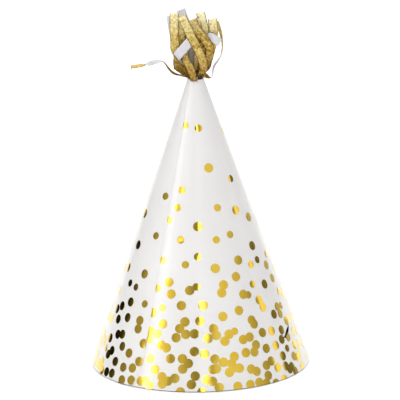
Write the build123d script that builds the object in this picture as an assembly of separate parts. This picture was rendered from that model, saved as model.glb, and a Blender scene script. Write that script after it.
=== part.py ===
from build123d import *
import os
import random
from math import atan2, cos, degrees, hypot, radians, sin, sqrt

# A cone party hat: a white card sheet rolled into a cone and glued along one seam, scattered
# with hot-foil dots, and a tuft of metallic film streamers bound and glued into the open tip.
# Millimetres, +Z up. The brim stands on z = 0 and the cone's axis is the Z axis.
# Azimuth runs from the front (-Y) towards +X. Slant is the distance from the cone's apex.

# ---- driving dimensions ----
BRIM_RADIUS = 63.5
SLANT = 190.5                 # radius of the flat sheet, a third of a full circle
CARD = 0.4
GLUE = 0.1
TIP_Z = 166.0                 # height of the open tip's rim
SEAM = -33.5                  # azimuth of the flap's visible edge
FLAP_ROOT = -47.0             # azimuth where the flap has risen over the layer below
RAMP_ROOT = -52.0
LAP_END = -46.2               # hidden edge of the layer below
CORNER_SLANT = 178.0          # where the trimmed corner of the flap begins
CORNER_BRIM = -37.5           # azimuth where the trimmed corner meets the brim
FOIL = 0.06
FOIL_GAP = 0.05
DOT_L = 2.65                  # radii of the two dot sizes
DOT_S = 2.1
SLIT_WIDTH = 1.1              # where the slit gapes
SLIT_CLOSED = 0.16            # along its closed end
SLIT_AZIMUTH = 64.0
SLIT_SLANT = 166.0
FILM = 0.15
GATHERED = 3.2                # streamer width where it is bunched in the tip
ROOT_Z = 159.0                # lowest end of the bunch
ROOT_PITCH = 0.28             # from one layer of the bunch to the next
THREAD = 0.5
THREAD_TURNS = 4
THREAD_Z = 161.6              # height of the lowest turn
CLEAR = 0.2                   # between the bunch and the thread round it
PLUG_FOOT = 155.0
PLUG_TOP = 160.6
SMALLEST_CHIP = 0.02          # foil slivers of less volume than this are left off
BACK_SEED = 2027

HEIGHT = sqrt(SLANT ** 2 - BRIM_RADIUS ** 2)
LEAN = atan2(BRIM_RADIUS, HEIGHT)          # angle between the card and the axis
TURN = 360.0


def cone_point(azimuth, slant, out=0.0):
    """Point on the card's outer face, or `out` above it along the face's normal."""
    a = radians(azimuth)
    r = slant * sin(LEAN) + out * cos(LEAN)
    return Vector(r * sin(a), -r * cos(a), HEIGHT - slant * cos(LEAN) + out * sin(LEAN))


def face_plane(azimuth, slant, out=0.0):
    """Plane tangent to the cone: local x runs round it, local y towards the apex."""
    a = radians(azimuth)
    normal = Vector(sin(a) * cos(LEAN), -cos(a) * cos(LEAN), sin(LEAN))
    return Plane(origin=cone_point(azimuth, slant, out), x_dir=(cos(a), sin(a), 0), z_dir=normal)


def wall_section(azimuth, low, high):
    """Section of the wall at one azimuth, between two offsets from the card's outer face."""
    top = (HEIGHT - TIP_Z) / cos(LEAN)
    foot = SLANT + 1.0
    corners = [cone_point(azimuth, top, low), cone_point(azimuth, top, high),
               cone_point(azimuth, foot, high), cone_point(azimuth, foot, low)]
    return Face(Wire.make_polygon(corners, close=True))


def revolved_wall(start, end, low, high):
    return revolve(wall_section(start, low, high), Axis.Z, revolution_arc=end - start)


def flap_wall(low, high):
    """The ramp over the lap's edge and the flap beyond it, ending at the seam."""
    lift = CARD + GLUE
    ramp = loft([wall_section(RAMP_ROOT, low, high),
                 wall_section(FLAP_ROOT, low + lift, high + lift)], ruled=True)
    flap = revolved_wall(FLAP_ROOT, SEAM, low + lift, high + lift)
    return ramp + (flap - trimmed_corner())


def trimmed_corner():
    """Wedge outside the flap's slanting lower corner."""
    reach = SLANT + 4.0
    per_slant = (CORNER_BRIM - SEAM) / (SLANT - CORNER_SLANT)
    outline = [(SEAM, CORNER_SLANT), (CORNER_BRIM + per_slant * (reach - SLANT), reach),
               (SEAM + 4, reach), (SEAM + 4, CORNER_SLANT - 2)]
    plane = face_plane(SEAM, CORNER_SLANT)
    flat = [plane.to_local_coords(cone_point(a, s)) for a, s in outline]
    face = Face(Wire.make_polygon([plane.from_local_coords(Vector(p.X, p.Y, -5)) for p in flat],
                                  close=True))
    return extrude(face, 12, dir=plane.z_dir)


def above_brim(shape):
    slab = Pos(0, 0, -10) * Box(200, 200, 20)
    return shape - slab


def cord_slit(azimuth):
    """Curved slit for the elastic: wide where the card gapes, a hairline beyond it."""
    plane = face_plane(azimuth, SLIT_SLANT, -3)
    open_part = SlotArc(ThreePointArc((4.6, 2.5), (0.2, -0.4), (-4.2, -2.3)), SLIT_WIDTH)
    hairline = SlotArc(ThreePointArc((-4.0, -2.3), (-6.6, -1.7), (-8.8, -0.2)), SLIT_CLOSED)
    cut = extrude(plane * open_part, 6)
    return cut + extrude(plane * hairline, 6)


def cone_sheet():
    wall = revolved_wall(LAP_END, RAMP_ROOT + TURN, -CARD, 0) + flap_wall(-CARD, 0)
    for azimuth in (SLIT_AZIMUTH, SLIT_AZIMUTH + 180):
        wall -= cord_slit(azimuth)
    return above_brim(wall)


def seam_glue_strip():
    """Glue line between the flap and the layer below it."""
    inset = 0.01
    top = (HEIGHT - TIP_Z) / cos(LEAN) + 6
    corners = [cone_point(LAP_END + 1.5, top, inset), cone_point(LAP_END + 1.5, top, GLUE - inset),
               cone_point(LAP_END + 1.5, SLANT - 8, GLUE - inset),
               cone_point(LAP_END + 1.5, SLANT - 8, inset)]
    return revolve(Face(Wire.make_polygon(corners, close=True)), Axis.Z, revolution_arc=6.5)


# ---- foil dots: (azimuth, slant) of each centre, as they are scattered over the front ----
LARGE_DOTS = [
    # upper part, where the dots are sparse
    (17.5, 65), (45, 91), (-73, 95), (-0.5, 98), (63, 97), (-66, 113), (54, 113), (34, 119),
    (13, 122), (-46, 127.5), (-72, 127.5), (-23, 130), (29, 128), (66, 126.5), (18, 131.7),
    (-7, 134), (16, 136), (-20.4, 136.5), (55, 136), (68.7, 135), (32.3, 138.5),
    # lower left, on the flap and beyond it
    (-54, 145), (-63, 149), (-68.5, 152), (-53, 154), (-63, 157), (-41, 153.7), (-41, 158.5),
    (-35, 166), (-58.5, 165), (-54, 164), (-66, 169), (-51, 170.5), (-44, 173), (-60, 175),
    (-63, 178), (-54, 180), (-46, 181.6), (-39.4, 180.7), (-35.8, 176.4), (-68, 183.6),
    (-69.6, 186.4), (-65, 188), (-59.4, 187.5), (-54.3, 187), (-45, 188.7), (-38.7, 187.5),
    (-73.5, 159), (-74, 172.5), (-73.5, 186),
    # lower left, right of the seam
    (-32.3, 148), (-24, 153.6), (-31.7, 158.5), (-32, 163), (-27, 159.4), (-29, 173.7),
    (-25.4, 179.5), (-33, 187), (-30, 186.3), (-27.5, 188.5),
    # lower middle
    (-12.5, 142.6), (2.3, 142.5), (26.7, 147), (15, 149.3), (0, 151.2), (-9.6, 151.7),
    (-12.7, 155.5), (-14.6, 160.7), (-8.8, 158.6), (-3.5, 158.3), (8.3, 155.7), (4.7, 161),
    (9.8, 159.5), (14.6, 163.2), (17.7, 159.5), (-23.3, 165.5), (-20, 166.7), (-3.5, 168.2),
    (2.3, 169.6), (-17, 172.6), (-10.2, 172.3), (-6.8, 174.8), (-9.8, 178), (8, 172.7),
    (12.7, 174.8), (6.6, 178.4), (8.4, 178), (19.2, 172.2), (17.2, 176), (18.3, 178.5),
    (15.4, 180.7), (21.3, 179), (-3, 181.8), (-5, 186.5), (-13.8, 183.4), (-17.5, 185.2),
    (-21, 183), (-20.4, 187), (3, 184), (6, 185), (9.2, 188.6), (-10.5, 190.8), (0.4, 190.8),
    (19, 189), (26, 189),
    # lower right
    (44.7, 143.6), (46.6, 148), (72.5, 144), (61.7, 151), (62.5, 155.4), (55.3, 154),
    (34.6, 153.6), (35.8, 156), (26.2, 163.5), (30.8, 162.7), (34, 167.7), (32, 171.4),
    (26.5, 171), (40.7, 161.8), (48.5, 162.4), (40.7, 171), (48.6, 171), (58, 164),
    (55.4, 169), (62.7, 169.5), (67.5, 161), (72, 161), (73, 168.7), (52, 178), (67.5, 175.5),
    (74, 177), (62.3, 181), (66.2, 182.7), (69.6, 181.8), (28, 180.5), (31, 182.3),
    (38, 180.2), (42, 178.6), (45.5, 183.2), (37.7, 186), (52, 184), (54.6, 186.4),
    (57, 185.7), (31.3, 188.7), (35.5, 190), (48.2, 190.7), (41.7, 191.5), (68.5, 189),
    (59, 189)]
SMALL_DOTS = [
    (-28, 40.5), (4.5, 42), (51, 73), (-20, 77.5), (-41, 82), (-23, 87.5), (22, 88),
    (-31, 95), (-42.5, 105), (-16.5, 105.7), (16.5, 106), (31, 104), (-1, 115), (-31, 118),
    (-11, 119.6), (46, 123), (55, 121.5), (73, 121), (-2.3, 132), (-61, 135), (-52.4, 136),
    (-31.5, 134), (42.3, 134), (36.3, 139.3), (-39.7, 144), (-25.8, 144.6), (-75, 142.5),
    (-68, 175.5), (21.5, 158.2), (67, 151.4), (58, 175)]
# the rest of the cone carries the same scatter: slant from, slant to, large dots, small dots
BACK_BANDS = [(38, 62, 0, 3), (62, 90, 2, 6), (90, 110, 6, 7), (110, 130, 13, 8),
              (130, 142, 14, 6), (142, 155, 26, 5), (155, 170, 44, 3), (170, 181, 42, 3),
              (181, 191, 52, 0)]
BACK_FROM = 79.0
BACK_TO = 281.0
FOIL_NODES = ["foil_dots_front", "foil_dots_front_right", "foil_dots_back_right",
              "foil_dots_back", "foil_dots_back_left", "foil_dots_front_left"]


def dot_offset(one, other):
    """Azimuth from the other dot to this one, the short way round."""
    return (one[0] - other[0] + 180) % TURN - 180


def dot_distance(one, other):
    """Distance between two dot centres along the card."""
    arc = radians(dot_offset(one, other)) * sin(LEAN) * (one[1] + other[1]) / 2
    return hypot(arc, one[1] - other[1])


def all_dots():
    """Every dot as (azimuth, slant, radius): the front's, then a seeded scatter behind."""
    dots = [(a, s, DOT_L) for a, s in LARGE_DOTS] + [(a, s, DOT_S) for a, s in SMALL_DOTS]
    chance = random.Random(BACK_SEED)
    for low, high, large, small in BACK_BANDS:
        spacing = 1.25 if low < 142 else 1.25 - 0.65 * (low - 142) / 39
        for radius in [DOT_L] * large + [DOT_S] * small:
            for _ in range(60):
                dot = (chance.uniform(BACK_FROM, BACK_TO), chance.uniform(low, high), radius)
                if all(dot_distance(dot, d) > spacing * (radius + d[2]) for d in dots):
                    dots.append(dot)
                    break
    return dots


def clusters(dots):
    """Groups of dots that overlap. The seam parts the dots on its two sides."""
    groups = []
    for dot in dots:
        touching = [g for g in groups if any(
            dot_distance(dot, d) < dot[2] + d[2] + 0.05 and left_of_seam(d) == left_of_seam(dot)
            for d in g)]
        merged = [dot] + [d for g in touching for d in g]
        groups = [g for g in groups if g not in touching] + [merged]
    return groups


def left_of_seam(dot):
    return (SEAM - dot[0]) % TURN < 180


def foil_layers():
    """Thin foil skins over the card, on the flap's side of the seam and on the other."""
    low = FOIL_GAP
    high = FOIL_GAP + FOIL
    reach = 205.0
    left = revolved_wall(SEAM - reach, RAMP_ROOT, low, high) + flap_wall(low, high)
    right = revolved_wall(SEAM + 0.2, SEAM + reach, low, high)
    corner = revolved_wall(CORNER_BRIM - 1, SEAM + 0.2, low, high) & trimmed_corner()
    return above_brim(left), above_brim(right + corner)


def stamp(group):
    """Prism through the card with the outline of one group of dots."""
    slant = sum(d[1] for d in group) / len(group)
    turn = sum(dot_offset(d, group[0]) for d in group) / len(group)
    plane = face_plane(group[0][0] + turn, slant, -4)
    outline = Sketch()
    for azimuth, along, radius in group:
        centre = plane.to_local_coords(cone_point(azimuth, along))
        outline += Pos(centre.X, centre.Y) * Circle(radius)
    return extrude(plane * outline, 7)


def foil_nodes():
    left, right = foil_layers()
    slits = [cord_slit(SLIT_AZIMUTH), cord_slit(SLIT_AZIMUTH + 180)]
    nodes = {name: [] for name in FOIL_NODES}
    for group in clusters(all_dots()):
        layer = left if left_of_seam(group[0]) else right
        foil = Part(children=[layer & solid for solid in stamp(group).solids()])
        for azimuth, slit in zip((SLIT_AZIMUTH, SLIT_AZIMUTH + 180), slits):
            if any(dot_distance(d, (azimuth, SLIT_SLANT)) < 10 for d in group):
                foil = Part(children=[solid - slit for solid in foil.solids()])
        east = sum(sin(radians(d[0])) for d in group)
        north = sum(cos(radians(d[0])) for d in group)
        sector = round(degrees(atan2(east, north)) % TURN / 60) % len(FOIL_NODES)
        nodes[FOIL_NODES[sector]] += [s for s in foil.solids() if s.volume > SMALLEST_CHIP]
    return nodes


# ---- streamers ----
# Each one is a list of stations up the strip: x, y, z, turn, width. A turn of 0 shows the gold
# face to the front and 180 the white one. A crease gives its line and the gold side instead.
BACK_CREASE = ((0, 0, 1), (-1, 0, 0))
STREAMERS = {
    "streamer_v_fold": [
        (-0.2, -3.9, 167.5, ((1, 0, 0), (0, -0.6, 0.8)), 3.2),
        (-0.6, -5.3, 167.0, ((1, 0, 0), (0, 0.6, 0.8)), 3.4),
        (-0.9, -5.9, 165.6, ((1, 0, 0), (0, -1, -0.2)), 3.8),
        (-1.3, -5.9, 168.0, 0, 4.0), (-2.3, -5.3, 171.5, 0, 4.6), (-3.6, -5.2, 174.3, 0, 4.6),
        (-4.8, -4.7, 176.2, 0, 4.2), (-5.9, -2.3, 179.0, 0, 5.0), (-7.0, -1.7, 184.0, 0, 5.2),
        (-7.8, -3.0, 190.0, 0, 5.2), (-8.2, -3.9, 197.0, 0, 5.2), (-8.6, -4.4, 203.0, 0, 5.2)],
    "streamer_front": [
        (1.6, -2.75, 168.8, 0, 1.0), (3.9, -3.3, 170.6, 0, 4.2), (4.7, -4.4, 174.5, 0, 5.2),
        (3.1, -5.9, 180.0, -6, 5.2), (0.6, -7.4, 186.0, -4, 5.2), (-1.9, -8.8, 191.3, 4, 5.2),
        (-5.0, -10.4, 198.5, 6, 5.2), (-7.2, -11.4, 203.2, 3, 5.2)],
    "streamer_folded_left": [
        (-2.2, -2.5, 168.4, 0, 3.4), (-5.8, -3.1, 170.8, 0, 4.6), (-9.4, -5.1, 173.8, 0, 5.2),
        (-12.0, -4.4, 177.0, BACK_CREASE, 6.8), (-9.3, -3.7, 180.8, 180, 5.2),
        (-6.0, -4.7, 184.6, 180, 5.2), (-2.6, -5.7, 188.4, 180, 5.2)],
    "streamer_long_left": [
        (-4.0, -2.15, 168.0, 0, 2.4), (-9.0, -3.3, 168.8, 50, 1.2), (-12.8, -3.7, 170.3, 80, 5.0),
        (-15.3, -3.8, 173.0, 84, 5.2), (-17.8, -3.8, 176.4, 96, 5.2),
        (-20.5, -3.8, 177.0, 118, 5.2), (-26.6, -3.8, 175.6, 120, 5.2),
        (-28.6, -3.8, 175.1, 84, 5.2), (-36.6, -3.8, 174.0, 78, 5.2)],
    "streamer_front_right": [
        (1.4, -1.75, 168.0, 0, 3.6), (4.5, -2.6, 172.0, 0, 5.0), (7.4, -3.4, 178.0, 0, 5.2),
        (8.3, -4.3, 184.0, 4, 5.2), (5.2, -5.0, 189.6, 0, 5.2), (0.9, -6.2, 195.5, -3, 5.2),
        (-1.4, -7.0, 201.0, 0, 5.2)],
    "streamer_inner_right": [
        (1.2, -1.5, 168.0, 0, 3.6), (3.6, -1.9, 173.0, 0, 5.0), (5.2, -2.8, 179.0, 0, 5.2),
        (4.6, -3.5, 185.0, 0, 5.2), (2.2, -4.4, 192.0, 0, 5.2), (1.2, -5.1, 198.5, 0, 5.2)],
    "streamer_left": [
        (-2.5, -1.3, 168.3, 180, 3.4), (-7.5, -1.7, 171.2, 180, 4.2),
        (-10.7, -2.1, 175.6, 180, 4.6), (-11.1, -2.2, 177.6, 135, 4.2),
        (-11.2, -2.4, 179.6, 90, 4.0), (-11.2, -3.0, 181.6, 40, 4.6),
        (-11.3, -3.5, 184.0, 8, 5.2), (-11.3, -4.1, 188.0, 0, 5.2),
        (-11.6, -5.2, 196.0, 0, 5.2), (-11.2, -6.2, 204.5, 0, 5.2)],
    "streamer_arched": [
        (0.6, -1.0, 169.0, 0, 3.8), (1.6, -1.7, 175.0, 0, 5.2), (2.6, -2.5, 183.0, 0, 5.2),
        (4.2, -3.3, 190.2, ((0.86, 0, 0.5), (0.5, 0, -0.86)), 6.0),
        (9.6, -3.8, 189.9, 180, 5.2), (14.3, -3.6, 187.0, 180, 4.6)],
    "streamer_mid_right": [
        (1.0, -0.8, 169.0, 0, 3.8), (3.2, -1.2, 175.0, 0, 5.2), (4.8, -1.9, 183.0, 0, 5.2),
        (5.4, -2.7, 193.5, 0, 5.2), (3.4, -3.5, 204.3, 0, 5.2)],
    "streamer_right": [
        (2.0, -0.5, 169.0, 0, 4.0), (5.6, -0.8, 175.0, 0, 5.2), (9.0, -1.2, 183.0, 0, 5.2),
        (10.6, -1.7, 192.0, 0, 5.2), (10.1, -2.0, 200.6, 0, 5.2)],
    "streamer_white_inner": [
        (0.3, -0.2, 169.0, 180, 4.0), (-0.6, -0.3, 175.0, 180, 5.2),
        (-3.0, -0.3, 181.5, 180, 5.2), (-5.0, -0.4, 189.0, 180, 5.2),
        (-5.4, -0.5, 197.0, 180, 5.2)],
    "streamer_right_bow": [
        (2.4, 0.4, 167.6, 0, 3.0), (5.6, 0.6, 167.8, 30, 3.4), (8.2, 0.9, 166.2, 70, 4.0),
        (9.5, 1.2, 167.4, 94, 3.6), (9.9, 1.4, 169.8, 98, 4.6), (10.6, 1.7, 172.7, 99, 5.2),
        (13.6, 2.0, 177.0, 97, 5.2), (15.0, 2.2, 180.0, 84, 5.2), (15.5, 2.5, 185.7, 78, 5.2),
        (14.8, 2.8, 191.8, 74, 5.2), (12.7, 3.0, 198.4, 72, 5.2)],
    "streamer_left_behind": [
        (-1.0, 0.8, 169.0, 180, 4.0), (-5.0, 1.2, 175.5, 180, 5.2), (-9.2, 1.8, 183.5, 180, 5.2),
        (-12.1, 2.6, 193.0, 180, 5.2), (-13.5, 3.3, 202.2, 180, 5.2)],
    "streamer_white_top": [
        (-0.2, 1.1, 169.0, 180, 4.0), (-1.0, 1.8, 177.0, 180, 5.2), (-2.0, 3.0, 187.0, 180, 5.2),
        (-4.4, 4.0, 195.5, 180, 5.2), (-7.8, 4.9, 205.2, 180, 5.2)],
    "streamer_white_right": [
        (2.4, 1.4, 168.8, 180, 3.6), (6.2, 1.9, 173.0, 180, 5.2), (7.2, 2.7, 179.5, 180, 5.2),
        (6.0, 3.6, 187.0, 180, 5.2), (6.6, 4.8, 195.5, 180, 5.2)],
    "streamer_back_left": [
        (-0.6, 1.7, 168.2, 180, 1.0), (-3.4, 2.1, 171.5, 180, 4.4),
        (-7.4, 3.5, 178.5, 165, 5.2), (-10.4, 5.4, 188.0, 155, 5.2),
        (-11.4, 7.2, 198.0, 150, 5.2)],
    "streamer_back_middle": [
        (0.3, 2.2, 169.5, 180, 4.0), (0.7, 2.7, 173.0, 180, 4.8),
        (0.9, 3.4, 177.0, 180, 5.2), (1.2, 5.6, 185.5, 190, 5.2),
        (0.6, 7.4, 194.5, 195, 5.2)],
    "streamer_back_right": [
        (0.7, 2.35, 168.2, 180, 1.0), (3.6, 3.1, 171.5, 180, 4.4), (7.4, 4.8, 178.5, 195, 5.2),
        (9.4, 6.8, 187.0, 205, 5.2), (9.8, 9.0, 196.5, 210, 5.2)],
    "streamer_back_inner": [
        (-0.9, 3.0, 169.5, 180, 4.0), (-3.4, 4.9, 177.0, 180, 5.2),
        (-5.6, 7.2, 186.0, 172, 5.2), (-6.2, 9.4, 195.5, 168, 5.2)],
    "streamer_back": [
        (0.2, 3.1, 168.2, 180, 1.0), (1.2, 3.8, 171.0, 180, 4.6), (3.2, 6.2, 177.5, 184, 5.2),
        (4.8, 8.6, 184.5, 190, 5.2), (4.9, 10.8, 192.0, 186, 5.2)]}
# station at which a streamer that swings is hinged: its root ends just below that station
HINGES = {"streamer_front": 0, "streamer_long_left": 1, "streamer_right_bow": 3,
          "streamer_back_left": 0, "streamer_back_right": 0, "streamer_back": 0}
HINGE_GAP = 0.15


def root_stations(row, turn):
    """The bunched lower end of a streamer: one layer of the stack in the tip."""
    y = (row - (len(STREAMERS) - 1) / 2) * ROOT_PITCH
    return [(0, y, z, turn, GATHERED) for z in (ROOT_Z, TIP_Z + 0.4)]


def streamer_sections(stations):
    """Rectangles across the strip, square to it except at a crease."""
    points = [Vector(*station[:3]) for station in stations]
    sections = []
    for i, (point, station) in enumerate(zip(points, stations)):
        along = (points[min(i + 1, len(points) - 1)] - points[max(i - 1, 0)]).normalized()
        turn = station[3]
        if isinstance(turn, tuple):
            across, facing = Vector(*turn[0]).normalized(), Vector(*turn[1]).normalized()
        else:
            flat = along.cross(Vector(0, -1, 0)).normalized()
            across = flat * cos(radians(turn)) + along.cross(flat) * sin(radians(turn))
            facing = across.cross(along)
        wide = across * (station[4] / 2)
        thick = facing * (FILM / 2)
        corners = [point - wide - thick, point + wide - thick,
                   point + wide + thick, point - wide + thick]
        sections.append(Face(Wire.make_polygon(corners, close=True)))
    return sections


def strip(stations):
    return loft(streamer_sections(stations), ruled=True)


def shifted(station, towards, distance):
    """The same station moved along the strip towards another one."""
    here = Vector(*station[:3])
    there = here + (Vector(*towards[:3]) - here).normalized() * distance
    return (there.X, there.Y, there.Z) + tuple(station[3:])


def streamer_nodes():
    """One node for each streamer, and one for the roots of those that swing."""
    nodes = {"streamer_roots": []}
    for row, (name, stations) in enumerate(STREAMERS.items()):
        white_to_front = stations[0][3] == 180
        path = root_stations(row, 180 if white_to_front else 0) + stations
        if name not in HINGES:
            nodes[name] = [strip(path)]
            continue
        at = HINGES[name] + 2
        below = shifted(path[at], path[at - 1], HINGE_GAP)
        above = shifted(path[at], path[at + 1], HINGE_GAP)
        nodes["streamer_roots"].append(strip(path[:at] + [below]))
        nodes[name] = [strip([above] + path[at + 1:])]
    return nodes


def binding_thread():
    """Turns of thread round the bunch, just under the tip's rim."""
    deep = (len(STREAMERS) - 1) * ROOT_PITCH + FILM + THREAD + CLEAR
    wide = GATHERED + THREAD + CLEAR
    turns = []
    for i in range(THREAD_TURNS):
        path = Pos(0, 0, THREAD_Z + i * (THREAD + 0.06)) * RectangleRounded(wide, deep, THREAD)
        wire = path.wire()
        start = Plane(origin=wire @ 0, z_dir=wire % 0)
        turns += sweep(start * Circle(THREAD / 2), path=wire).solids()
    return turns


def tip_glue():
    """Glue plug that holds the bunch against the inside of the cone."""
    inner = [(HEIGHT - z) * BRIM_RADIUS / HEIGHT - CARD / cos(LEAN) - 0.06
             for z in (PLUG_FOOT, PLUG_TOP)]
    plug = Pos(0, 0, (PLUG_FOOT + PLUG_TOP) / 2) * Cone(*inner, PLUG_TOP - PLUG_FOOT)
    deep = (len(STREAMERS) - 1) * ROOT_PITCH + FILM + 0.1
    pocket = Pos(0, 0, ROOT_Z - 0.05 + 5) * Box(GATHERED + 0.1, deep, 10)
    return plug - pocket


def main():
    nodes = {"cone_sheet": [cone_sheet()], "seam_glue_strip": [seam_glue_strip()],
             "tip_glue": [tip_glue()], "binding_thread": binding_thread()}
    nodes.update(foil_nodes())
    nodes.update(streamer_nodes())
    os.makedirs("parts", exist_ok=True)
    for name, shapes in nodes.items():
        solids = [solid for shape in shapes for solid in shape.solids()]
        export_step(Compound(children=solids) if len(solids) > 1 else solids[0],
                    f"parts/{name}.step")


main()
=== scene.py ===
import bpy
import math
import numpy as np
from mathutils import Matrix, Vector


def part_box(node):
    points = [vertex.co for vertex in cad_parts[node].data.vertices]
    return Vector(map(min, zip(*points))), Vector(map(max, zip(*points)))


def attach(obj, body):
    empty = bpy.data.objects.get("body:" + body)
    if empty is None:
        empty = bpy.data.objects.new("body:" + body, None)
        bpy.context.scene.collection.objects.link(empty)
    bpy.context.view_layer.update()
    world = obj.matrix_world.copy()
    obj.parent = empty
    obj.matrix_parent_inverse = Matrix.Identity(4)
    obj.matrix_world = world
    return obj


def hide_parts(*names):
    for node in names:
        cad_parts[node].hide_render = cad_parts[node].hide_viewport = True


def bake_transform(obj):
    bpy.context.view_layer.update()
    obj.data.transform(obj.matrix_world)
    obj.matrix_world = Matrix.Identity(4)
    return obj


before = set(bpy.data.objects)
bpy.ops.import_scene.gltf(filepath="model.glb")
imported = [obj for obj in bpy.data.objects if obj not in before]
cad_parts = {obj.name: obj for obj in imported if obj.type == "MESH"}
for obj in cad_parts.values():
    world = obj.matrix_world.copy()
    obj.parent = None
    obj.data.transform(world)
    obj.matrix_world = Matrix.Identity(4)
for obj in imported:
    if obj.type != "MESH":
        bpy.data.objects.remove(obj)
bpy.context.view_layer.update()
MM = 0.001
HAT = "hat"

# ---- sizes read from the frame, and the few that the card's shape needs ----
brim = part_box("cone_sheet")
BRIM_RADIUS = round((brim[1][0] - brim[0][0]) / 2, 5)
SLANT = 3 * BRIM_RADIUS                    # a third of a full circle rolls into this cone
HEIGHT = math.sqrt(SLANT ** 2 - BRIM_RADIUS ** 2)
LEAN = math.atan2(BRIM_RADIUS, HEIGHT)
TIP_SLANT = (HEIGHT - brim[1][2]) / math.cos(LEAN)
CARD = 0.4 * MM
GLUE = 0.1 * MM
PRESSED_WIDTH = 1.3 * MM                   # the flap is pressed down along its edge
PRESSED_SHARE = 0.75
# azimuths, in degrees from the front toward +X
SEAM = -33.5                               # the flap's edge
CORNER_BRIM = -37.5                        # the same edge at the brim, past the trimmed corner
FLAP_ROOT = -47.0                          # where the wall lies at its full height over the lap
RAMP_ROOT = -52.0                          # where the wall starts to climb
LAP_END = -46.2                            # the hidden edge under the flap
SLIT_AZIMUTH = 64.0                        # the other slit is opposite
# distances down the wall from the cone's point
CORNER_SLANT = 178 * MM
SLIT_SLANT = 166 * MM
# how nearly a face has to lie along the cone to be shaded as part of it
ALONG_THE_CONE = 0.6


# ---- small helpers ----
def cone_point(azimuth, slant, out=0.0):
    """A point of the cone, or the distance `out` off its wall."""
    a = math.radians(azimuth)
    r = slant * math.sin(LEAN) + out * math.cos(LEAN)
    z = HEIGHT - slant * math.cos(LEAN) + out * math.sin(LEAN)
    return Vector((r * math.sin(a), -r * math.cos(a), z))


def cone_normal(x, y):
    a = math.atan2(x, -y)
    c = math.cos(LEAN)
    return (math.sin(a) * c, -math.cos(a) * c, math.sin(LEAN))


def smooth(t):
    t = min(max(t, 0.0), 1.0)
    return t * t * (3 - 2 * t)


def new_mesh(name, points, faces, materials=(), material_of_face=None):
    """A smooth-shaded object made from points and faces."""
    mesh = bpy.data.meshes.new(name)
    mesh.from_pydata([tuple(p) for p in points], [], faces)
    for material in materials:
        mesh.materials.append(material)
    if material_of_face is not None:
        mesh.polygons.foreach_set("material_index", material_of_face)
    mesh.polygons.foreach_set("use_smooth", [True] * len(mesh.polygons))
    mesh.update()
    piece = bpy.data.objects.new(name, mesh)
    bpy.context.scene.collection.objects.link(piece)
    return piece


def apply_modifiers(piece):
    """Bakes the piece's modifiers into its mesh."""
    bpy.context.view_layer.update()
    made = piece.evaluated_get(bpy.context.evaluated_depsgraph_get())
    mesh = bpy.data.meshes.new_from_object(made)
    piece.modifiers.clear()
    piece.data = mesh


# ---- materials ----
def shader(name, color, rough, metallic=0.0):
    """A Principled material, with the values that hold where nothing is linked."""
    material = bpy.data.materials.new(name)
    material.use_nodes = True
    tree = material.node_tree
    bsdf = tree.nodes["Principled BSDF"]
    bsdf.inputs["Base Color"].default_value = (*color, 1)
    bsdf.inputs["Roughness"].default_value = rough
    bsdf.inputs["Metallic"].default_value = metallic
    return material, tree, bsdf


def place(tree):
    return tree.nodes.new("ShaderNodeTexCoord").outputs["Object"]


def noise(tree, scale, detail=3.0, rough=0.5):
    node = tree.nodes.new("ShaderNodeTexNoise")
    node.inputs["Scale"].default_value = scale
    node.inputs["Detail"].default_value = detail
    node.inputs["Roughness"].default_value = rough
    tree.links.new(place(tree), node.inputs["Vector"])
    return node.outputs["Fac"]


def ramp(tree, value, stops):
    """Colours by value: each stop gives a position and its colour."""
    node = tree.nodes.new("ShaderNodeValToRGB")
    while len(node.color_ramp.elements) < len(stops):
        node.color_ramp.elements.new(0.5)
    for element, (at, color) in zip(node.color_ramp.elements, stops):
        element.position = at
        element.color = (*color, 1)
    tree.links.new(value, node.inputs["Fac"])
    return node.outputs["Color"]


def feed(tree, socket, value):
    """Sets a number on the socket, or links another node's output to it."""
    if isinstance(value, (int, float)):
        socket.default_value = value
    else:
        tree.links.new(value, socket)


def math_node(tree, operation, a, b):
    node = tree.nodes.new("ShaderNodeMath")
    node.operation = operation
    feed(tree, node.inputs[0], a)
    feed(tree, node.inputs[1], b)
    return node.outputs[0]


def mix_colors(tree, kind, share, one, other):
    """Mixes two colours, on the Mix node's colour sockets."""
    node = tree.nodes.new("ShaderNodeMix")
    node.data_type = "RGBA"
    node.blend_type = kind
    for number, value in ((0, share), (6, one), (7, other)):
        feed(tree, node.inputs[number], value)
    return node.outputs[2]


def map_range(tree, value, low, high):
    """0 where the value is low and 1 where it is high."""
    node = tree.nodes.new("ShaderNodeMapRange")
    node.inputs["From Min"].default_value = low
    node.inputs["From Max"].default_value = high
    tree.links.new(value, node.inputs["Value"])
    return node.outputs["Result"]


def bump(tree, bsdf, height, strength, distance, below=None):
    """Relief on the surface, over a coarser relief below it if there is one."""
    node = tree.nodes.new("ShaderNodeBump")
    node.inputs["Strength"].default_value = strength
    node.inputs["Distance"].default_value = distance
    tree.links.new(height, node.inputs["Height"])
    if below is not None:
        tree.links.new(below, node.inputs["Normal"])
    tree.links.new(node.outputs["Normal"], bsdf.inputs["Normal"])
    return node.outputs["Normal"]


def gray(low, high):
    return [(0.0, (low,) * 3), (1.0, (high,) * 3)]


def card_material():
    material, tree, bsdf = shader("white_card", (0.9, 0.89, 0.88), 0.3)
    fibres = noise(tree, 900, 6, 0.65)
    tint = ramp(tree, noise(tree, 28, 3), [(0.3, (0.74, 0.73, 0.72)), (0.7, (0.77, 0.765, 0.76))])
    tree.links.new(tint, bsdf.inputs["Base Color"])
    tree.links.new(ramp(tree, fibres, gray(0.26, 0.36)), bsdf.inputs["Roughness"])
    bsdf.inputs["Coat Weight"].default_value = 0.25
    bsdf.inputs["Coat Roughness"].default_value = 0.15
    soft = bump(tree, bsdf, noise(tree, 16, 2), 0.25, 0.0012)
    bump(tree, bsdf, fibres, 0.06, 0.00012, soft)
    return material


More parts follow.
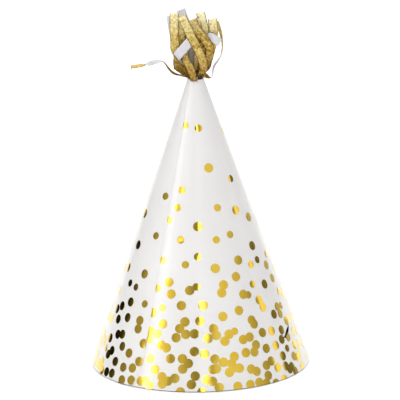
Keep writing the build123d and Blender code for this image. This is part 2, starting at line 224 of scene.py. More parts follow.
def foil_material():
    material, tree, bsdf = shader("gold_foil", (0.88, 0.6, 0.05), 0.08, 1.0)
    tint = ramp(tree, noise(tree, 60, 2), [(0.3, (0.83, 0.545, 0.035)), (0.7, (0.92, 0.65, 0.065))])
    tree.links.new(tint, bsdf.inputs["Base Color"])
    bsdf.inputs["Coat Weight"].default_value = 0.7
    bsdf.inputs["Coat Roughness"].default_value = 0.06
    fine = noise(tree, 1400, 4, 0.6)
    tree.links.new(ramp(tree, fine, gray(0.04, 0.12)), bsdf.inputs["Roughness"])
    wave = bump(tree, bsdf, noise(tree, 75, 2), 0.4, 0.0009)
    bump(tree, bsdf, fine, 0.03, 0.0001, wave)
    return material


# heights on the tuft, in metres, between which the painted shade on its foot fades out and the painted
# highlight on its tips comes in
PAINTED_SHADE_FOOT = (0.165, 0.184)
PAINTED_HIGHLIGHT_TIPS = (0.19, 0.204)


def up_the_tuft(tree, low, high):
    """0 at one height of the tuft and 1 at another."""
    split = tree.nodes.new("ShaderNodeSeparateXYZ")
    tree.links.new(place(tree), split.inputs["Vector"])
    return map_range(tree, split.outputs["Z"], low, high)


def painted_edge_shade(tree):
    """Painted shade along the strip's cut edges, where they curl and the strips shade one another, from its
    own lengthwise map.
    """
    uv = tree.nodes.new("ShaderNodeUVMap")
    uv.uv_map = "strip"
    split = tree.nodes.new("ShaderNodeSeparateXYZ")
    tree.links.new(uv.outputs["UV"], split.inputs["Vector"])
    dark, full = (0.34, 0.26, 0.18), (1, 1, 1)
    return ramp(tree, split.outputs["X"], [(0.0, dark), (0.14, full), (0.86, full), (1.0, dark)])


def glitter_material(name, body_tone, painted_highlight_tone, painted_shade_tone):
    """Gold film rolled with fine glitter: facets of mixed tilt, with a painted highlight that pales the
    free tips and painted shade on the foot.
    """
    material, tree, bsdf = shader(name, (0.6, 0.42, 0.12), 0.3, 1.0)
    bsdf.inputs["Specular Tint"].default_value = (0.7, 0.55, 0.3, 1)
    cells = tree.nodes.new("ShaderNodeTexVoronoi")
    cells.inputs["Scale"].default_value = 1700
    tree.links.new(place(tree), cells.inputs["Vector"])
    grain = noise(tree, 700, 4, 0.75)
    body = ramp(tree, grain, [(0.34, (0.2, 0.11, 0.015)), (0.47, body_tone),
                              (0.66, (0.8, 0.66, 0.28))])
    tips = ramp(tree, grain, [(0.34, (0.5, 0.37, 0.1)), (0.47, painted_highlight_tone),
                              (0.64, (1.0, 0.95, 0.66))])
    # painted highlight: the film turns pale toward the free tips
    film = mix_colors(tree, "MIX", up_the_tuft(tree, *PAINTED_HIGHLIGHT_TIPS), body, tips)
    # painted shade: darker low on the tuft, toward its foot
    shade = ramp(tree, up_the_tuft(tree, *PAINTED_SHADE_FOOT), [(0.0, painted_shade_tone), (1.0, (1, 1, 1))])
    shaded = mix_colors(tree, "MULTIPLY", 1.0, film, shade)
    # painted shade darkens the cut edges of every strip
    tint = mix_colors(tree, "MULTIPLY", 1.0, shaded, painted_edge_shade(tree))
    tree.links.new(tint, bsdf.inputs["Base Color"])
    tree.links.new(ramp(tree, cells.outputs["Distance"], gray(0.18, 0.42)), bsdf.inputs["Roughness"])
    flakes = bump(tree, bsdf, cells.outputs["Distance"], 0.9, 0.0003)
    bump(tree, bsdf, grain, 0.5, 0.0003, flakes)
    return material


def film_back_material(name, low, high):
    """The streamers' silvery back."""
    material, tree, bsdf = shader(name, (0.66, 0.65, 0.68), 0.34, 0.35)
    tint = ramp(tree, noise(tree, 160, 3), [(0.3, low), (0.7, high)])
    tree.links.new(tint, bsdf.inputs["Base Color"])
    bump(tree, bsdf, noise(tree, 420, 3), 0.2, 0.0002)
    return material


def thread_material():
    material, tree, bsdf = shader("thread", (0.16, 0.11, 0.05), 0.75)
    wave = tree.nodes.new("ShaderNodeTexWave")
    wave.inputs["Scale"].default_value = 900
    wave.inputs["Distortion"].default_value = 1.5
    tree.links.new(place(tree), wave.inputs["Vector"])
    tint = ramp(tree, wave.outputs["Fac"], [(0.2, (0.03, 0.02, 0.012)), (0.8, (0.16, 0.11, 0.06))])
    tree.links.new(tint, bsdf.inputs["Base Color"])
    bump(tree, bsdf, wave.outputs["Fac"], 0.6, 0.0001)
    return material


def glue_material():
    material, tree, bsdf = shader("glue", (0.85, 0.8, 0.66), 0.28)
    tint = ramp(tree, noise(tree, 300, 3), [(0.3, (0.78, 0.72, 0.56)), (0.7, (0.9, 0.86, 0.74))])
    tree.links.new(tint, bsdf.inputs["Base Color"])
    bsdf.inputs["Subsurface Weight"].default_value = 0.3
    bump(tree, bsdf, noise(tree, 240, 3), 0.5, 0.0004)
    return material


# ---- the rolled card ----
def flap_edge(slant):
    """Azimuth of the flap's edge: straight down the seam, then along the trimmed corner."""
    past = max(slant - CORNER_SLANT, 0) / (SLANT - CORNER_SLANT)
    return 360 + SEAM + (CORNER_BRIM - SEAM) * past


def wall_lift(azimuth, slant):
    """How far the card's outer face stands off the cone there: ramp, flap and pressed edge."""
    if azimuth < RAMP_ROOT + 360:
        return 0.0
    ramp_up = smooth((azimuth - 360 - RAMP_ROOT) / (FLAP_ROOT - RAMP_ROOT))
    to_edge = math.radians(flap_edge(slant) - azimuth) * slant * math.sin(LEAN)
    pressed = smooth(1 - to_edge / PRESSED_WIDTH)
    return (CARD + GLUE) * ramp_up * (1 - PRESSED_SHARE * pressed)


def sheet_faces(rows, columns):
    """Quads of a sheet's outer skin, its inner skin and its four cut edges."""
    wide = columns + 1
    count = (rows + 1) * wide
    faces = []
    for i in range(rows):
        for j in range(columns):
            a, b = i * wide + j, i * wide + j + 1
            c, d = b + wide, a + wide
            faces.append((a, d, c, b))
            faces.append((count + a, count + b, count + c, count + d))
    for j in range(columns):
        top, foot = j, rows * wide + j
        faces.append((top, top + 1, count + top + 1, count + top))
        faces.append((foot + 1, foot, count + foot, count + foot + 1))
    for i in range(rows):
        lap, flap = i * wide, i * wide + columns
        faces.append((lap + wide, lap, count + lap, count + lap + wide))
        faces.append((flap, flap + wide, count + flap + wide, count + flap))
    return faces


def card_sheet(material):
    """The card as one rolled sheet: from the hidden lap round the cone and over it to the flap."""
    rows, columns = 96, 372
    spots = []
    for i in range(rows + 1):
        slant = TIP_SLANT + (SLANT - TIP_SLANT) * i / rows
        turn = flap_edge(slant) - LAP_END
        spots += [(LAP_END + turn * j / columns, slant) for j in range(columns + 1)]
    outer = [cone_point(a, s, wall_lift(a, s)) for a, s in spots]
    inner = [cone_point(a, s, wall_lift(a, s) - CARD) for a, s in spots]
    for point in outer + inner:
        point.z = max(point.z, 0.0)
    return new_mesh("card", outer + inner, sheet_faces(rows, columns), [material])


# the gaping slit, in millimetres: round the cone, up the wall, and its width there
SLIT = [(4.7, 2.6, 0.4), (3.2, 1.2, 1.7), (1.6, 0.2, 2.4), (0, -0.7, 2.7), (-1.6, -1.6, 2.6),
        (-3.1, -2.2, 2.1), (-4.5, -2.6, 1.2), (-5.8, -2.5, 0.5), (-7.2, -1.8, 0.3),
        (-8.6, -0.6, 0.15)]
SLIT_REACH = 3                             # how far the blade stands off the wall on both sides


def slit_outline():
    """The slit's one side and then, coming back, its other."""
    one, other = [], []
    for k, (x, y, width) in enumerate(SLIT):
        before, after = SLIT[max(k - 1, 0)], SLIT[min(k + 1, len(SLIT) - 1)]
        side = Vector((-(after[1] - before[1]), after[0] - before[0])).normalized() * width / 2
        one.append((x + side.x, y + side.y))
        other.append((x - side.x, y - side.y))
    return one + other[::-1]


def slit_cutter(azimuth):
    """Curved blade through the card where the elastic's slit gapes."""
    origin = cone_point(azimuth, SLIT_SLANT)
    a = math.radians(azimuth)
    around = Vector((math.cos(a), math.sin(a), 0))
    normal = Vector(cone_normal(origin.x, origin.y))
    up = normal.cross(around)
    outline = slit_outline()
    points = [origin + (around * x + up * y + normal * z) * MM
              for z in (-SLIT_REACH, SLIT_REACH) for x, y in outline]
    n = len(outline)
    faces = [tuple(range(n)), tuple(reversed(range(n, 2 * n)))]
    faces += [(k, n + k, n + (k + 1) % n, (k + 1) % n) for k in range(n)]
    cutter = new_mesh("slit", points, faces)
    cutter.data.polygons.foreach_set("use_smooth", [False] * len(faces))
    return cutter


def cut(piece, cutters):
    """Takes the cutters out of the piece, and deletes them."""
    for cutter in cutters:
        modifier = piece.modifiers.new("cut", "BOOLEAN")
        modifier.operation = "DIFFERENCE"
        modifier.solver = "EXACT"
        modifier.object = cutter
    apply_modifiers(piece)
    for cutter in cutters:
        bpy.data.objects.remove(cutter)


def cone_shading(piece):
    """Exact cone normals on the faces that follow the cone, so that gloss runs clean round it."""
    mesh = piece.data
    normals = []
    for polygon in mesh.polygons:
        centre = polygon.center
        ideal = Vector(cone_normal(centre.x, centre.y))
        facing = polygon.normal.dot(ideal)
        for k in polygon.vertices:
            co = mesh.vertices[k].co
            if abs(facing) > ALONG_THE_CONE:
                normals.append(Vector(cone_normal(co.x, co.y)) * (1 if facing > 0 else -1))
            else:
                normals.append(polygon.normal.copy())
    mesh.normals_split_custom_set(normals)


def build_card(material):
    card = card_sheet(material)
    cut(card, [slit_cutter(SLIT_AZIMUTH), slit_cutter(SLIT_AZIMUTH + 180)])
    cone_shading(card)
    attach(card, HAT)
    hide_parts("cone_sheet")


def build_foil(material):
    """The dots keep their CAD outlines, on copies with clean gloss."""
    for name in [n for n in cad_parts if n.startswith("foil_dots")]:
        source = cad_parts[name]
        mesh = source.data.copy()
        mesh.materials.clear()
        mesh.materials.append(material)
        piece = bpy.data.objects.new(name.replace("foil_dots", "foil"), mesh)
        bpy.context.scene.collection.objects.link(piece)
        mesh.polygons.foreach_set("use_smooth", [True] * len(mesh.polygons))
        cone_shading(piece)
        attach(piece, HAT)
        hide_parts(name)


# ---- streamers: the same stations as the CAD strips, in millimetres ----
# x, y, z, turn, width. A turn of 0 shows the gold face to the front and 180 the white one.
# A crease gives its line and the gold side instead of a turn.
BACK_CREASE = ((0, 0, 1), (-1, 0, 0))
STREAMERS = {
    "streamer_v_fold": [
        (-0.2, -3.9, 167.5, ((1, 0, 0), (0, -0.6, 0.8)), 3.2),
        (-0.6, -5.3, 167.0, ((1, 0, 0), (0, 0.6, 0.8)), 3.4),
        (-0.9, -5.9, 165.6, ((1, 0, 0), (0, -1, -0.2)), 3.8),
        (-1.3, -5.9, 168.0, 0, 4.0), (-2.3, -5.3, 171.5, 0, 4.6), (-3.6, -5.2, 174.3, 0, 4.6),
        (-4.8, -4.7, 176.2, 0, 4.2), (-5.9, -2.3, 179.0, 0, 5.0), (-7.0, -1.7, 184.0, 0, 5.2),
        (-7.8, -3.0, 190.0, 0, 5.2), (-8.2, -3.9, 197.0, 0, 5.2), (-8.6, -4.4, 203.0, 0, 5.2)],
    "streamer_front": [
        (1.6, -2.75, 168.8, 0, 1.0), (3.9, -3.3, 170.6, 0, 4.2), (4.7, -4.4, 174.5, 0, 5.2),
        (3.1, -5.9, 180.0, -6, 5.2), (0.6, -7.4, 186.0, -4, 5.2), (-1.9, -8.8, 191.3, 4, 5.2),
        (-5.0, -10.4, 198.5, 6, 5.2), (-7.2, -11.4, 203.2, 3, 5.2)],
    "streamer_folded_left": [
        (-2.2, -2.5, 168.4, 0, 3.4), (-5.8, -3.1, 170.8, 0, 4.6), (-9.4, -5.1, 173.8, 0, 5.2),
        (-12.0, -4.4, 177.0, BACK_CREASE, 6.8), (-9.3, -3.7, 180.8, 180, 5.2),
        (-6.0, -4.7, 184.6, 180, 5.2), (-2.6, -5.7, 188.4, 180, 5.2)],
    "streamer_long_left": [
        (-4.0, -2.15, 168.0, 0, 2.4), (-9.0, -3.3, 168.8, 50, 1.2), (-12.8, -3.7, 170.3, 80, 5.0),
        (-15.3, -3.8, 173.0, 84, 5.2), (-17.8, -3.8, 176.4, 96, 5.2),
        (-20.5, -3.8, 177.0, 118, 5.2), (-26.6, -3.8, 175.6, 120, 5.2),
        (-28.6, -3.8, 175.1, 84, 5.2), (-36.6, -3.8, 174.0, 78, 5.2)],
    "streamer_front_right": [
        (1.4, -1.75, 168.0, 0, 3.6), (4.5, -2.6, 172.0, 0, 5.0), (7.4, -3.4, 178.0, 0, 5.2),
        (8.3, -4.3, 184.0, 4, 5.2), (5.2, -5.0, 189.6, 0, 5.2), (0.9, -6.2, 195.5, -3, 5.2),
        (-1.4, -7.0, 201.0, 0, 5.2)],
    "streamer_inner_right": [
        (1.2, -1.5, 168.0, 0, 3.6), (3.6, -1.9, 173.0, 0, 5.0), (5.2, -2.8, 179.0, 0, 5.2),
        (4.6, -3.5, 185.0, 0, 5.2), (2.2, -4.4, 192.0, 0, 5.2), (1.2, -5.1, 198.5, 0, 5.2)],
    "streamer_left": [
        (-2.5, -1.3, 168.3, 180, 3.4), (-7.5, -1.7, 171.2, 180, 4.2),
        (-10.7, -2.1, 175.6, 180, 4.6), (-11.1, -2.2, 177.6, 135, 4.2),
        (-11.2, -2.4, 179.6, 90, 4.0), (-11.2, -3.0, 181.6, 40, 4.6),
        (-11.3, -3.5, 184.0, 8, 5.2), (-11.3, -4.1, 188.0, 0, 5.2),
        (-11.6, -5.2, 196.0, 0, 5.2), (-11.2, -6.2, 204.5, 0, 5.2)],
    "streamer_arched": [
        (0.6, -1.0, 169.0, 0, 3.8), (1.6, -1.7, 175.0, 0, 5.2), (2.6, -2.5, 183.0, 0, 5.2),
        (4.2, -3.3, 190.2, ((0.86, 0, 0.5), (0.5, 0, -0.86)), 6.0),
        (9.6, -3.8, 189.9, 180, 5.2), (14.3, -3.6, 187.0, 180, 4.6)],
    "streamer_mid_right": [
        (1.0, -0.8, 169.0, 0, 3.8), (3.2, -1.2, 175.0, 0, 5.2), (4.8, -1.9, 183.0, 0, 5.2),
        (5.4, -2.7, 193.5, 0, 5.2), (3.4, -3.5, 204.3, 0, 5.2)],
    "streamer_right": [
        (2.0, -0.5, 169.0, 0, 4.0), (5.6, -0.8, 175.0, 0, 5.2), (9.0, -1.2, 183.0, 0, 5.2),
        (10.6, -1.7, 192.0, 0, 5.2), (10.1, -2.0, 200.6, 0, 5.2)],
    "streamer_white_inner": [
        (0.3, -0.2, 169.0, 180, 4.0), (-0.6, -0.3, 175.0, 180, 5.2),
        (-3.0, -0.3, 181.5, 180, 5.2), (-5.0, -0.4, 189.0, 180, 5.2),
        (-5.4, -0.5, 197.0, 180, 5.2)],
    "streamer_right_bow": [
        (2.4, 0.4, 167.6, 0, 3.0), (5.6, 0.6, 167.8, 30, 3.4), (8.2, 0.9, 166.2, 70, 4.0),
        (9.5, 1.2, 167.4, 94, 3.6), (9.9, 1.4, 169.8, 98, 4.6), (10.6, 1.7, 172.7, 99, 5.2),
        (13.6, 2.0, 177.0, 97, 5.2), (15.0, 2.2, 180.0, 84, 5.2), (15.5, 2.5, 185.7, 78, 5.2),
        (14.8, 2.8, 191.8, 74, 5.2), (12.7, 3.0, 198.4, 72, 5.2)],
    "streamer_left_behind": [
        (-1.0, 0.8, 169.0, 180, 4.0), (-5.0, 1.2, 175.5, 180, 5.2), (-9.2, 1.8, 183.5, 180, 5.2),
        (-12.1, 2.6, 193.0, 180, 5.2), (-13.5, 3.3, 202.2, 180, 5.2)],
    "streamer_white_top": [
        (-0.2, 1.1, 169.0, 180, 4.0), (-1.0, 1.8, 177.0, 180, 5.2), (-2.0, 3.0, 187.0, 180, 5.2),
        (-4.4, 4.0, 195.5, 180, 5.2), (-7.8, 4.9, 205.2, 180, 5.2)],
    "streamer_white_right": [
        (2.4, 1.4, 168.8, 180, 3.6), (6.2, 1.9, 173.0, 180, 5.2), (7.2, 2.7, 179.5, 180, 5.2),
        (6.0, 3.6, 187.0, 180, 5.2), (6.6, 4.8, 195.5, 180, 5.2)],
    "streamer_back_left": [
        (-0.6, 1.7, 168.2, 180, 1.0), (-3.4, 2.1, 171.5, 180, 4.4),
        (-7.4, 3.5, 178.5, 165, 5.2), (-10.4, 5.4, 188.0, 155, 5.2),
        (-11.4, 7.2, 198.0, 150, 5.2)],
    "streamer_back_middle": [
        (0.3, 2.2, 169.5, 180, 4.0), (0.7, 2.7, 173.0, 180, 4.8),
        (0.9, 3.4, 177.0, 180, 5.2), (1.2, 5.6, 185.5, 190, 5.2),
        (0.6, 7.4, 194.5, 195, 5.2)],
    "streamer_back_right": [
        (0.7, 2.35, 168.2, 180, 1.0), (3.6, 3.1, 171.5, 180, 4.4), (7.4, 4.8, 178.5, 195, 5.2),
        (9.4, 6.8, 187.0, 205, 5.2), (9.8, 9.0, 196.5, 210, 5.2)],
    "streamer_back_inner": [
        (-0.9, 3.0, 169.5, 180, 4.0), (-3.4, 4.9, 177.0, 180, 5.2),
        (-5.6, 7.2, 186.0, 172, 5.2), (-6.2, 9.4, 195.5, 168, 5.2)],
    "streamer_back": [
        (0.2, 3.1, 168.2, 180, 1.0), (1.2, 3.8, 171.0, 180, 4.6), (3.2, 6.2, 177.5, 184, 5.2),
        (4.8, 8.6, 184.5, 190, 5.2), (4.9, 10.8, 192.0, 186, 5.2)]}
# the two ends of the bend of each streamer that swings, in millimetres
BENDS = {"streamer_front": ((1.2, -2.7, 168.2), (2.8, -3.0, 170.2)),
         "streamer_long_left": ((-8.0, -3.2, 168.6), (-10.6, -3.4, 169.4)),
         "streamer_right_bow": ((8.9, 1.1, 166.7), (10.0, 1.3, 169.2)),
         "streamer_back_left": ((-0.4, 1.7, 167.8), (-1.8, 1.9, 169.8)),
         "streamer_back_right": ((0.5, 2.3, 167.8), (2.0, 2.6, 169.8)),
         "streamer_back": ((0.1, 3.0, 167.8), (0.8, 3.5, 169.8))}
# the streamers' bunched roots in the tip, in millimetres: width, spacing and heights
GATHERED = 3.2
ROOT_PITCH = 0.28
ROOT_HEIGHTS = (159.0, 166.4)
# a strip's thickness, the length between its rows and the number of quads across it
FILM = 0.11
ROW_STEP = 0.7
ACROSS = 6
FIRST_SEED = 40


def strip_edges(stations):
    """Left and right edge points at each station, as the CAD strip has them."""
    points = [Vector(s[:3]) for s in stations]
    lefts, rights = [], []
    for i, (point, station) in enumerate(zip(points, stations)):
        along = (points[min(i + 1, len(points) - 1)] - points[max(i - 1, 0)]).normalized()
        turn = station[3]
        if isinstance(turn, tuple):
            across = Vector(turn[0]).normalized()
        else:
            flat = along.cross(Vector((0, -1, 0))).normalized()
            t = math.radians(turn)
            across = flat * math.cos(t) + along.cross(flat) * math.sin(t)
        lefts.append(np.array(point - across * (station[4] / 2)))
        rights.append(np.array(point + across * (station[4] / 2)))
    return lefts, rights


def through(points, lengths):
    """A smooth curve through the points, with about one sample in each ROW_STEP of length."""
    samples = []
    for i in range(len(points) - 1):
        span = lengths[i + 1] - lengths[i]
        slopes = []
        for k in (i, i + 1):
            low, high = max(k - 1, 0), min(k + 1, len(points) - 1)
            slopes.append((points[high] - points[low]) / (lengths[high] - lengths[low]))
        count = max(2, round(span / ROW_STEP))
        for j in range(count + (i == len(points) - 2)):
            t = j / count
            h = (2 * t ** 3 - 3 * t ** 2 + 1, t ** 3 - 2 * t ** 2 + t, -2 * t ** 3 + 3 * t ** 2,
                 t ** 3 - t ** 2)
            samples.append(h[0] * points[i] + h[1] * span * slopes[0]
                           + h[2] * points[i + 1] + h[3] * span * slopes[1])
    return np.array(samples)


def strip_grid(stations):
    """Rows of points across the strip, from its root to its free end."""
    lefts, rights = strip_edges(stations)
    middle = [(a + b) / 2 for a, b in zip(lefts, rights)]
    lengths = [0.0]
    for a, b in zip(middle, middle[1:]):
        lengths.append(lengths[-1] + float(np.linalg.norm(b - a)))
    left, right = through(lefts, lengths), through(rights, lengths)
    shares = np.linspace(0, 1, ACROSS + 1)
    return left[:, None] * (1 - shares)[None, :, None] + right[:, None] * shares[None, :, None]


def unit(vectors):
    return vectors / np.maximum(np.linalg.norm(vectors, axis=2, keepdims=True), 1e-9)


def gold_side(grid):
    """The way the gold skin faces at each point, evened out along the strip."""
    normal = unit(np.cross(np.gradient(grid, axis=1), np.gradient(grid, axis=0)))
    for _ in range(2):
        normal[1:-1] = normal[:-2] + 2 * normal[1:-1] + normal[2:]
        normal = unit(normal)
    return normal


def crinkle(rows, seed, curl):
    """How far each point stands off the flat strip: one hollow across it, and four waves."""
    chance = np.random.default_rng(seed)
    along = np.linspace(0, 1, rows)[:, None]
    shares = np.linspace(0, 1, ACROSS + 1)[None, :]
    hollow = chance.uniform(-0.22, 0.22) if curl is None else curl
    cup = hollow * (1 - (2 * shares - 1) ** 2)
    waves = sum(chance.uniform(0.03, 0.08) * np.sin(chance.uniform(9, 34) * along
                + chance.uniform(-2.5, 2.5) * shares + chance.uniform(0, 6)) for _ in range(4))
    free = np.clip((along - 0.18) / 0.3, 0, 1)
    return free * (cup + waves)


def ribbon_faces(rows):
    """Quads of the gold skin, the white skin and the cut edges, and the material of each."""
    wide = ACROSS + 1
    count = rows * wide
    faces, index = [], []
    for i in range(rows - 1):
        for j in range(ACROSS):
            a, b = i * wide + j, i * wide + j + 1
            c, d = b + wide, a + wide
            faces.append((a, b, c, d))
            faces.append((count + a, count + d, count + c, count + b))
            index += [0, 1]
    for i in range(rows - 1):
        for j, flip in ((0, False), (ACROSS, True)):
            a, d = i * wide + j, (i + 1) * wide + j
            quad = (a, d, count + d, count + a)
            faces.append(quad[::-1] if flip else quad)
            index.append(0)
    for i, flip in ((0, True), (rows - 1, False)):
        for j in range(ACROSS):
            a, b = i * wide + j, i * wide + j + 1
            quad = (a, b, count + b, count + a)
            faces.append(quad[::-1] if flip else quad)
            index.append(1)
    return faces, index


def map_strip(mesh, rows):
    """The map that the painted edge shade follows: across the strip, and along it."""
    wide = ACROSS + 1
    strip_map = mesh.uv_layers.new(name="strip")
    for loop, spot in zip(mesh.loops, strip_map.data):
        i, j = divmod(loop.vertex_index % (rows * wide), wide)
        spot.uv = (j / ACROSS, i / (rows - 1))


def ribbon(name, stations, seed, materials, curl=None):
    """One strip of film: gold skin, white skin and cut edges, cupped and a little crinkled."""
    grid = strip_grid(stations)
    rows = len(grid)
    normal = gold_side(grid)
    middle = grid + normal * crinkle(rows, seed, curl)[:, :, None]
    gold = middle + normal * FILM / 2
    white = middle - normal * FILM / 2
    points = np.concatenate([gold.reshape(-1, 3), white.reshape(-1, 3)]) * MM
    faces, index = ribbon_faces(rows)
    piece = new_mesh(name, points, faces, materials, index)
    map_strip(piece.data, rows)
    skins = 2 * (rows - 1) * ACROSS
    piece.data.polygons.foreach_set("use_smooth", [k < skins for k in range(len(faces))])
    return piece


def root_stations(row, turn):
    """The strip's flat root, in its own layer of the bunch."""
    y = (row - (len(STREAMERS) - 1) / 2) * ROOT_PITCH
    return [(0, y, z, turn, GATHERED) for z in ROOT_HEIGHTS]


# strips that are curled into a shallow gutter: its depth in millimetres
CURLED = {"streamer_long_left": 0.45, "streamer_right_bow": 0.3}
# streamers in the shade of others get painted shade, a deeper gold or a duller back, and some get a painted
# highlight, a paler gold
PAINTED_SHADE_GOLD = ("streamer_front_right", "streamer_folded_left", "streamer_inner_right")
PAINTED_LIGHT_GOLD = ("streamer_mid_right", "streamer_right", "streamer_arched", "streamer_long_left")
PAINTED_SHADE_BACK = ("streamer_white_inner", "streamer_white_right", "streamer_back_middle")
# tones of the gold faces: along the strip, at its free tip with its painted highlight, and over its foot
# with its painted shade; the deep tones are painted shade and the pale ones a painted highlight
GOLD_TONES = ((0.55, 0.39, 0.1), (0.9, 0.78, 0.36), (0.55, 0.4, 0.25))
PAINTED_SHADE_GOLD_TONES = ((0.42, 0.24, 0.03), (0.8, 0.66, 0.26), (0.2, 0.13, 0.07))
PAINTED_LIGHT_GOLD_TONES = ((0.72, 0.56, 0.22), (1.0, 0.93, 0.56), (0.4, 0.28, 0.16))
# tones of the backs, which vary from the first to the second; the dull ones are painted shade
WHITE_TONES = ((0.63, 0.62, 0.65), (0.73, 0.72, 0.75))
PAINTED_SHADE_BACK_TONES = ((0.2, 0.16, 0.12), (0.3, 0.25, 0.2))


def build_streamers():
    gold = glitter_material("gold_film", *GOLD_TONES)
    painted_shade_gold_film = glitter_material("gold_film_painted_shade", *PAINTED_SHADE_GOLD_TONES)
    painted_light_gold_film = glitter_material("gold_film_painted_light", *PAINTED_LIGHT_GOLD_TONES)
    white = film_back_material("white_film", *WHITE_TONES)
    painted_shade_back_film = film_back_material("back_film_painted_shade", *PAINTED_SHADE_BACK_TONES)
    for row, (name, stations) in enumerate(STREAMERS.items()):
        white_to_front = stations[0][3] == 180
        path = root_stations(row, 180 if white_to_front else 0) + stations
        # painted shade and painted highlight: darker and paler copies of the gold and back films, by where
        # each strip lies
        face = painted_shade_gold_film if name in PAINTED_SHADE_GOLD else painted_light_gold_film if name in PAINTED_LIGHT_GOLD else gold
        skins = [face, painted_shade_back_film if name in PAINTED_SHADE_BACK else white]
        film = name.replace("streamer", "film")
        piece = ribbon(film, path, FIRST_SEED + row, skins, CURLED.get(name))
        if name in BENDS:
            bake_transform(piece)
            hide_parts(name, "streamer_roots")
        else:
            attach(piece, HAT)
            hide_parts(name)


def build_thread_wrap(thread):
    """More turns of the binding thread, above the tip's rim where the streamers part."""
    turns, steps, sides = 5, 40, 8
    foot, pitch, reach, waver, radius, oval = 164.9, 0.7, 3.45, 0.12, 0.33, 0.93
    points, faces = [], []
    for i in range(turns * steps + 1):
        t = i / steps
        a = 2 * math.pi * t
        r = reach + waver * math.sin(3.1 * t)
        centre = Vector((oval * r * math.cos(a), r * math.sin(a), foot + pitch * t))
        out = Vector((math.cos(a), math.sin(a), 0))
        for k in range(sides):
            b = 2 * math.pi * k / sides
            points.append((centre + out * radius * math.cos(b) + Vector((0, 0, radius * math.sin(b)))) * MM)
    for i in range(turns * steps):
        for k in range(sides):
            m = (k + 1) % sides
            faces.append((i * sides + k, i * sides + m, (i + 1) * sides + m, (i + 1) * sides + k))
    last = turns * steps * sides
    faces += [tuple(range(sides)), tuple(last + k for k in reversed(range(sides)))]
    piece = new_mesh("thread_wrap", points, faces, [thread])
    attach(piece, HAT)


def finish_cad_nodes(thread):
    """Materials of the pieces that keep their CAD shape."""
    glue = glue_material()
    made = {"binding_thread": thread, "tip_glue": glue, "seam_glue_strip": glue}
    for name, material in made.items():
        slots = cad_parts[name].data.materials
        slots.clear()
        slots.append(material)


# ---- studio ----
# the floor lies just under the brim, and a cove behind the hat turns up into a wall
FLOOR_Z = -0.0005
FLOOR_HALF = 4
WALL_HALF = 1.1
COVE_START = 1.2
COVE_RADIUS = 0.8
COVE_STEPS = 16
WALL_RISE = 2.4


def backdrop():
    """Wide pale floor, with a narrow wall behind it that curves up well away from the hat."""
    material, tree, bsdf = shader("studio_paper", (0.93, 0.93, 0.93), 0.9)
    tint = ramp(tree, noise(tree, 4, 2), gray(0.92, 0.95))
    tree.links.new(tint, bsdf.inputs["Base Color"])
    bsdf.inputs["Specular IOR Level"].default_value = 0.0
    points = [(x, y, FLOOR_Z) for y in (-FLOOR_HALF, COVE_START) for x in (-FLOOR_HALF, FLOOR_HALF)]
    faces = [(0, 1, 3, 2)]
    bends = [math.pi / 2 * k / COVE_STEPS for k in range(COVE_STEPS + 1)]
    profile = [(COVE_START + COVE_RADIUS * math.sin(t), COVE_RADIUS - COVE_RADIUS * math.cos(t))
               for t in bends]
    profile.append((profile[-1][0], profile[-1][1] + WALL_RISE))
    for y, z in profile:
        points += [(-WALL_HALF, y, z + FLOOR_Z), (WALL_HALF, y, z + FLOOR_Z)]
    faces += [(n, n + 1, n + 3, n + 2) for n in range(4, len(points) - 2, 2)]
    new_mesh("backdrop", points, faces, [material])


# azimuth in degrees from the front, and the brightness of the studio panels there
PANELS = [(-180, 0.54), (-142, 0.42), (-139, 0.05), (-131, 0.012), (-112, 0.012), (-106, 0.06),
          (-98, 0.2), (-84, 0.4), (-72, 0.42), (-66, 0.9), (-62, 5.5), (-56, 5.5), (-53, 2.0),
          (-46, 0.9), (-38, 0.75), (-34, 0.4), (-24, 0.68), (-6, 0.28), (-1, 0.28), (2, 4.0),
          (7, 1.4), (13, 0.42), (22, 0.85), (46, 0.8), (66, 0.6), (80, 0.36), (86, 0.4),
          (92, 1.2), (99, 1.0), (103, 0.16), (114, 0.2), (121, 0.54)]
OVERHEAD = 1.03                            # the ceiling's brightness
CEILING = (0.56, 0.78)                     # and how high the panels fade into it


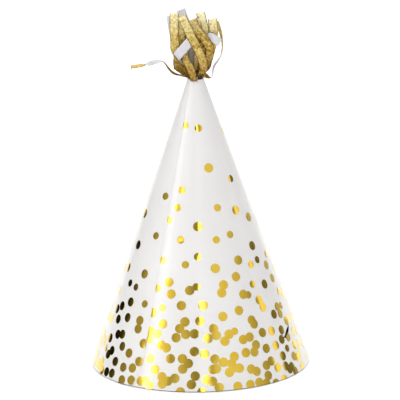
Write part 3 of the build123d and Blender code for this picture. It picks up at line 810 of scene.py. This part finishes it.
def studio_world():
    """Upright panels of different brightness round the hat, with a bright ceiling over them."""
    world = bpy.data.worlds.new("studio")
    bpy.context.scene.world = world
    world.use_nodes = True
    tree = world.node_tree
    split = tree.nodes.new("ShaderNodeSeparateXYZ")
    coordinates = tree.nodes.new("ShaderNodeTexCoord")
    tree.links.new(coordinates.outputs["Generated"], split.inputs["Vector"])
    back = math_node(tree, "MULTIPLY", split.outputs["Y"], -1.0)
    azimuth = math_node(tree, "ARCTAN2", split.outputs["X"], back)
    turn = map_range(tree, azimuth, -math.pi, math.pi)
    top = max(v for _, v in PANELS)
    level = ramp(tree, turn, [((a + 180) / 360, (v / top,) * 3) for a, v in PANELS])
    panels = math_node(tree, "MULTIPLY", level, top)
    ceiling = map_range(tree, split.outputs["Z"], *CEILING)
    gap = math_node(tree, "SUBTRACT", OVERHEAD, panels)
    strength = math_node(tree, "ADD", panels, math_node(tree, "MULTIPLY", gap, ceiling))
    background = tree.nodes["Background"]
    background.inputs["Color"].default_value = (1, 0.995, 0.985, 1)
    tree.links.new(strength, background.inputs["Strength"])


def area_light(name, at, size, power):
    """A round white light, aimed at the middle of the cone."""
    data = bpy.data.lights.new(name, "AREA")
    data.shape = "DISK"
    data.size = size
    data.energy = power
    lamp = bpy.data.objects.new(name, data)
    bpy.context.scene.collection.objects.link(lamp)
    lamp.location = at
    aim = Vector((0, 0, 0.09)) - Vector(at)
    lamp.rotation_mode = "QUATERNION"
    lamp.rotation_quaternion = aim.to_track_quat("-Z", "Y")


def camera():
    """The viewpoint: a long lens a little above the hat, rolled by one degree."""
    distance = 1.2
    rise = math.radians(13.13)
    roll = math.radians(-1.02)
    pivot_height = 0.08
    target = Vector((0.0013, 0, 0.0953))
    at = Vector((0, -distance * math.cos(rise), pivot_height + distance * math.sin(rise)))
    data = bpy.data.cameras.new("camera")
    data.sensor_width = 36
    data.lens = 186.705
    data.clip_start, data.clip_end = 0.05, 50
    made = bpy.data.objects.new("camera", data)
    bpy.context.scene.collection.objects.link(made)
    made.location = at
    made.rotation_mode = "QUATERNION"
    rolled = Matrix.Rotation(roll, 4, "Z").to_quaternion()
    made.rotation_quaternion = (target - at).to_track_quat("-Z", "Y") @ rolled
    bpy.context.scene.camera = made


bpy.context.scene.view_settings.view_transform = "Standard"
camera()
studio_world()
backdrop()
area_light("key", (-1.0, -1.4, 1.3), 0.9, 2)
area_light("top", (0.1, 0.1, 2.0), 1.4, 3)
area_light("wall", (0, 0.9, 1.9), 1.6, 20)
build_card(card_material())
build_foil(foil_material())
build_streamers()
thread = thread_material()
build_thread_wrap(thread)
finish_cad_nodes(thread)
